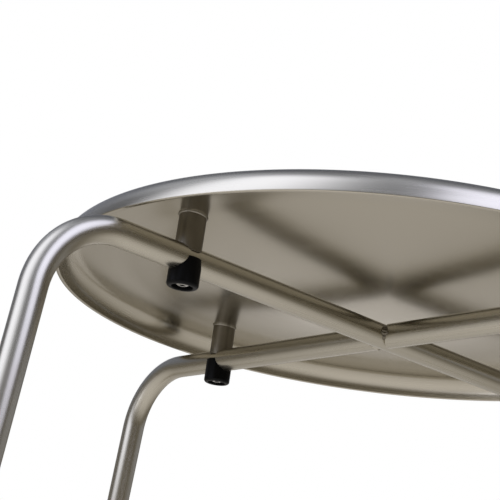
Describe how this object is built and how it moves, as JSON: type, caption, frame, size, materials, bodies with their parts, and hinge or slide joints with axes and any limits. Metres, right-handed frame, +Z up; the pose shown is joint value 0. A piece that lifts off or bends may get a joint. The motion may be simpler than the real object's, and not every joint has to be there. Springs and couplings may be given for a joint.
{
  "type": "metal stool",
  "caption": "Round backless stool in brushed metal: a hollowed sheet seat with a turned-down rim on posts above a welded cross of bent tube legs, with plastic stacking bumpers and foot glides.",
  "frame": {"origin": "on the floor under the centre of the seat", "axes": "+Z up through the seat's centre, -Y the front; the tubes and legs lie on the diagonals between X and Y"},
  "size_m": [0.3464, 0.3464, 0.45],
  "materials": {
    "seat_sheet": "satin brushed",
    "frame_tube": "satin brushed along the tube",
    "post_metal": "satin turned",
    "weld_metal": "dressed weld",
    "screw_metal": "bright plated",
    "bumper_plastic": "semi-matt moulded black",
    "glide_plastic": "semi-matt moulded black"
  },
  "bodies": {
    "root": {"seat_pan": "seat_sheet", "through_leg_tube": "frame_tube", "half_leg_tube_rear_left": "frame_tube", "half_leg_tube_front_right": "frame_tube", "cross_weld_right": "weld_metal", "cross_weld_rear": "weld_metal", "cross_weld_left": "weld_metal", "cross_weld_front": "weld_metal", "seat_standoff_rear_right": "post_metal", "seat_standoff_rear_left": "post_metal", "seat_standoff_front_left": "post_metal", "seat_standoff_front_right": "post_metal", "standoff_weld_rear_right": "weld_metal", "standoff_weld_rear_left": "weld_metal", "standoff_weld_front_left": "weld_metal", "standoff_weld_front_right": "weld_metal", "stacking_bumper_rear_right": "bumper_plastic", "stacking_bumper_rear_left": "bumper_plastic", "stacking_bumper_front_left": "bumper_plastic", "stacking_bumper_front_right": "bumper_plastic", "foot_glide_rear_right": "glide_plastic", "foot_glide_rear_left": "glide_plastic", "foot_glide_front_left": "glide_plastic", "foot_glide_front_right": "glide_plastic", "bumper_screws": "screw_metal"}
  },
  "joints": []
}
